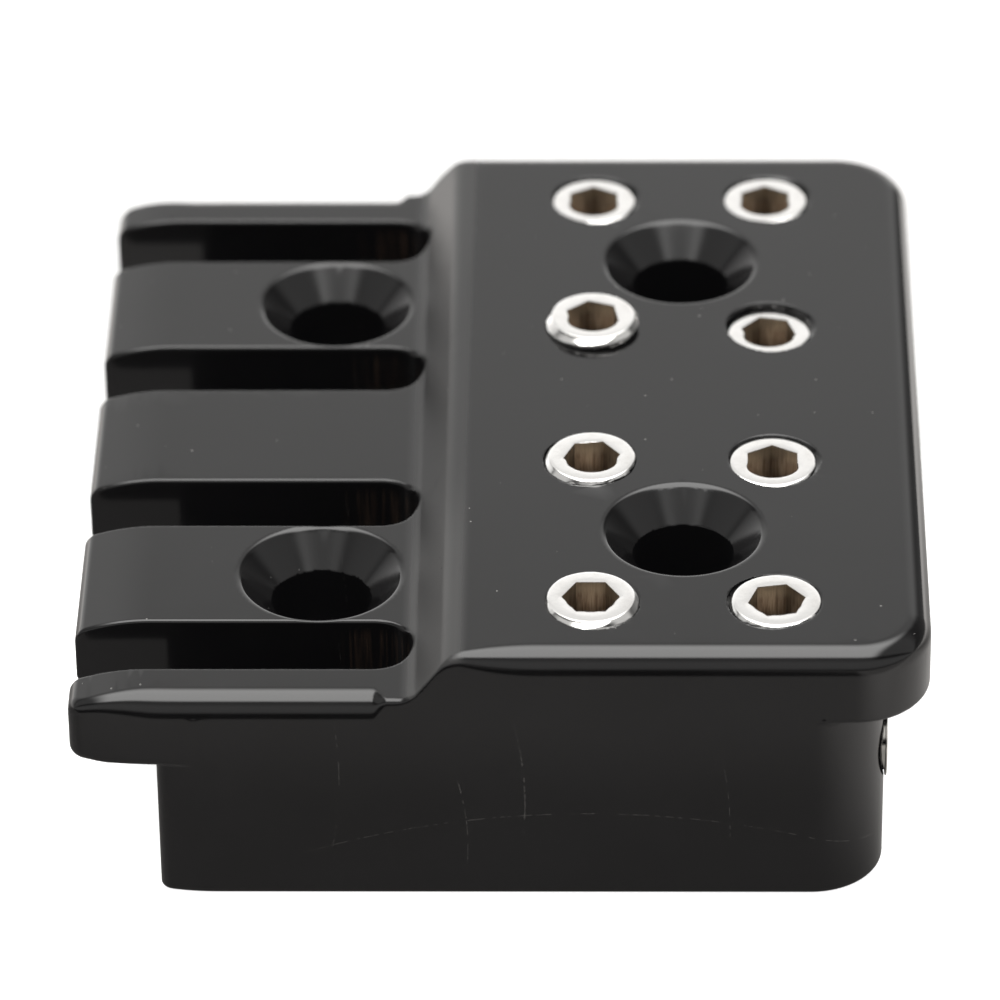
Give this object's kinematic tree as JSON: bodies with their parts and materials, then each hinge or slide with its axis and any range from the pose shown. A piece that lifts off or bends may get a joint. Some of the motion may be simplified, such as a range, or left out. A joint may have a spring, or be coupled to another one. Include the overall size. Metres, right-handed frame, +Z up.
{
  "type": "headless bass string clamp block",
  "caption": "Stepped black metal headpiece for a headless bass: string slots in a low flange, socket set screws on a raised plate clamp the strings, countersunk holes fix it to the neck.",
  "frame": {"origin": "centre of the block's bottom face", "axes": "+X towards the outer end, away from the neck; +Y across the strings, from string 4 to string 1; +Z up, out of the plate"},
  "size_m": [0.0344, 0.0378, 0.0122],
  "materials": {
    "black_finish": "gloss black plating over polished metal",
    "bright_chrome": "bright plated steel",
    "pad_brass": "turned",
    "bush_nickel": "nickel plated, turned"
  },
  "bodies": {
    "block": {"block": "black_finish", "string_bush_1": "bush_nickel", "string_bush_2": "bush_nickel", "string_bush_3": "bush_nickel", "string_bush_4": "bush_nickel"},
    "pad_1_inner": {"clamp_pad_1_inner": "pad_brass"},
    "screw_1_inner": {"set_screw_1_inner": "bright_chrome"},
    "pad_1_outer": {"clamp_pad_1_outer": "pad_brass"},
    "screw_1_outer": {"set_screw_1_outer": "bright_chrome"},
    "pad_2_inner": {"clamp_pad_2_inner": "pad_brass"},
    "screw_2_inner": {"set_screw_2_inner": "bright_chrome"},
    "pad_2_outer": {"clamp_pad_2_outer": "pad_brass"},
    "screw_2_outer": {"set_screw_2_outer": "bright_chrome"},
    "pad_3_inner": {"clamp_pad_3_inner": "pad_brass"},
    "screw_3_inner": {"set_screw_3_inner": "bright_chrome"},
    "pad_3_outer": {"clamp_pad_3_outer": "pad_brass"},
    "screw_3_outer": {"set_screw_3_outer": "bright_chrome"},
    "pad_4_inner": {"clamp_pad_4_inner": "pad_brass"},
    "screw_4_inner": {"set_screw_4_inner": "bright_chrome"},
    "pad_4_outer": {"clamp_pad_4_outer": "pad_brass"},
    "screw_4_outer": {"set_screw_4_outer": "bright_chrome"}
  },
  "joints": [
    {"name": "pad_1_inner_travel", "type": "slide", "parent": "block", "child": "pad_1_inner", "axis": [0, 0, 1], "range_m": [-0.00195, 0.00155]},
    {"name": "screw_1_inner_turn", "type": "hinge", "parent": "pad_1_inner", "child": "screw_1_inner", "pos_m": [0.00363, 0.015, 0.0116], "axis": [0, 0, 1], "range_deg": [-1003, 798]},
    {"name": "pad_1_outer_travel", "type": "slide", "parent": "block", "child": "pad_1_outer", "axis": [0, 0, 1], "range_m": [-0.00197, 0.00153]},
    {"name": "screw_1_outer_turn", "type": "hinge", "parent": "pad_1_outer", "child": "screw_1_outer", "pos_m": [0.01103, 0.015, 0.01162], "axis": [0, 0, 1], "range_deg": [-1014, 787]},
    {"name": "pad_2_inner_travel", "type": "slide", "parent": "block", "child": "pad_2_inner", "axis": [0, 0, 1], "range_m": [-0.00255, 0.00095]},
    {"name": "screw_2_inner_turn", "type": "hinge", "parent": "pad_2_inner", "child": "screw_2_inner", "pos_m": [0.00363, 0.005, 0.0122], "axis": [0, 0, 1], "range_deg": [-1312, 489]},
    {"name": "pad_2_outer_travel", "type": "slide", "parent": "block", "child": "pad_2_outer", "axis": [0, 0, 1], "range_m": [-0.00175, 0.00175]},
    {"name": "screw_2_outer_turn", "type": "hinge", "parent": "pad_2_outer", "child": "screw_2_outer", "pos_m": [0.01103, 0.005, 0.0114], "axis": [0, 0, 1], "range_deg": [-901, 901]},
    {"name": "pad_3_inner_travel", "type": "slide", "parent": "block", "child": "pad_3_inner", "axis": [0, 0, 1], "range_m": [-0.0022, 0.0013]},
    {"name": "screw_3_inner_turn", "type": "hinge", "parent": "pad_3_inner", "child": "screw_3_inner", "pos_m": [0.00363, -0.005, 0.01185], "axis": [0, 0, 1], "range_deg": [-1132, 669]},
    {"name": "pad_3_outer_travel", "type": "slide", "parent": "block", "child": "pad_3_outer", "axis": [0, 0, 1], "range_m": [-0.00195, 0.00155]},
    {"name": "screw_3_outer_turn", "type": "hinge", "parent": "pad_3_outer", "child": "screw_3_outer", "pos_m": [0.01103, -0.005, 0.0116], "axis": [0, 0, 1], "range_deg": [-1003, 798]},
    {"name": "pad_4_inner_travel", "type": "slide", "parent": "block", "child": "pad_4_inner", "axis": [0, 0, 1], "range_m": [-0.00223, 0.00127]},
    {"name": "screw_4_inner_turn", "type": "hinge", "parent": "pad_4_inner", "child": "screw_4_inner", "pos_m": [0.00363, -0.015, 0.01188], "axis": [0, 0, 1], "range_deg": [-1147, 654]},
    {"name": "pad_4_outer_travel", "type": "slide", "parent": "block", "child": "pad_4_outer", "axis": [0, 0, 1], "range_m": [-0.00207, 0.00143]},
    {"name": "screw_4_outer_turn", "type": "hinge", "parent": "pad_4_outer", "child": "screw_4_outer", "pos_m": [0.01103, -0.015, 0.01172], "axis": [0, 0, 1], "range_deg": [-1065, 736]}
  ],
  "couplings": [
    {"joint": "screw_1_inner_turn", "follows": "pad_1_inner_travel", "rad_per_m": 8976},
    {"joint": "screw_1_outer_turn", "follows": "pad_1_outer_travel", "rad_per_m": 8976},
    {"joint": "screw_2_inner_turn", "follows": "pad_2_inner_travel", "rad_per_m": 8976},
    {"joint": "screw_2_outer_turn", "follows": "pad_2_outer_travel", "rad_per_m": 8976},
    {"joint": "screw_3_inner_turn", "follows": "pad_3_inner_travel", "rad_per_m": 8976},
    {"joint": "screw_3_outer_turn", "follows": "pad_3_outer_travel", "rad_per_m": 8976},
    {"joint": "screw_4_inner_turn", "follows": "pad_4_inner_travel", "rad_per_m": 8976},
    {"joint": "screw_4_outer_turn", "follows": "pad_4_outer_travel", "rad_per_m": 8976}
  ]
}
